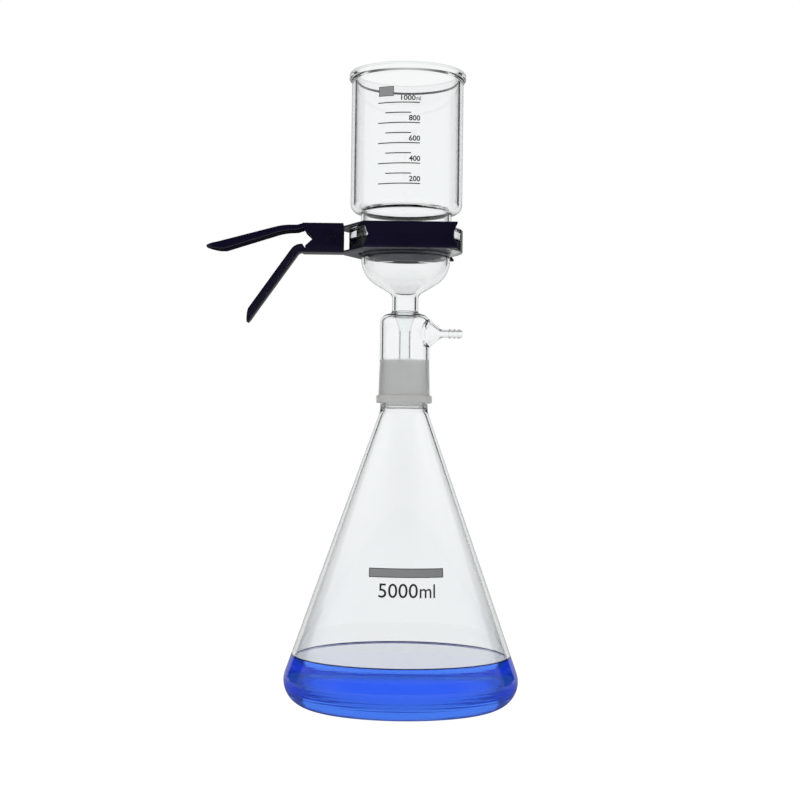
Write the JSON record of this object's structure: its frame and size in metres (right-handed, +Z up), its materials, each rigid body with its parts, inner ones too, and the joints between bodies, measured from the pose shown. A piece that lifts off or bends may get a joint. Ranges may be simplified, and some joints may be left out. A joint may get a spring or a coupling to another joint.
{
  "type": "vacuum filtration unit",
  "caption": "Glass vacuum filtration unit: graduated cup clamped by a sprung clamp to a fritted filter base with a side hose nozzle, on a conical receiving flask.",
  "frame": {"origin": "centre of the flask's bottom, on the plane it stands on", "axes": "+Z up along the glass axis, +X towards the vacuum nozzle's tip, -X towards the clamp's handles"},
  "size_m": [0.3165, 0.2328, 0.6319],
  "materials": {
    "clear_glass": "polished",
    "blue_liquid": "gloss",
    "sintered_glass": "matte",
    "membrane": "matte",
    "anodised_aluminium": "satin",
    "spring_steel": "satin",
    "enamel_print": "satin"
  },
  "bodies": {
    "root": {"flask": "clear_glass", "filtrate": "blue_liquid", "filter_base": "clear_glass", "frit_disc": "sintered_glass", "membrane_filter": "membrane", "cup": "clear_glass"},
    "upper_jaw": {"upper_jaw": "anodised_aluminium"},
    "lower_jaw": {"lower_jaw": "anodised_aluminium", "hinge_pin": "anodised_aluminium", "hinge_washers": "anodised_aluminium", "torsion_spring": "spring_steel"}
  },
  "joints": [
    {"name": "upper_jaw_hinge", "type": "hinge", "parent": "root", "child": "upper_jaw", "pos_m": [-0.0765, 0, 0.46532], "axis": [0, -1, 0], "range_deg": [0, 9], "stiffness_Nm_per_rad": 1.2, "springref_deg": -60.16},
    {"name": "lower_jaw_hinge", "type": "hinge", "parent": "root", "child": "lower_jaw", "pos_m": [-0.0765, 0, 0.46532], "axis": [0, 1, 0], "range_deg": [0, 9], "stiffness_Nm_per_rad": 1.2, "springref_deg": -60.16, "deforming": ["torsion_spring"]}
  ],
  "couplings": [
    {"joint": "lower_jaw_hinge", "follows": "upper_jaw_hinge", "ratio": 1}
  ]
}
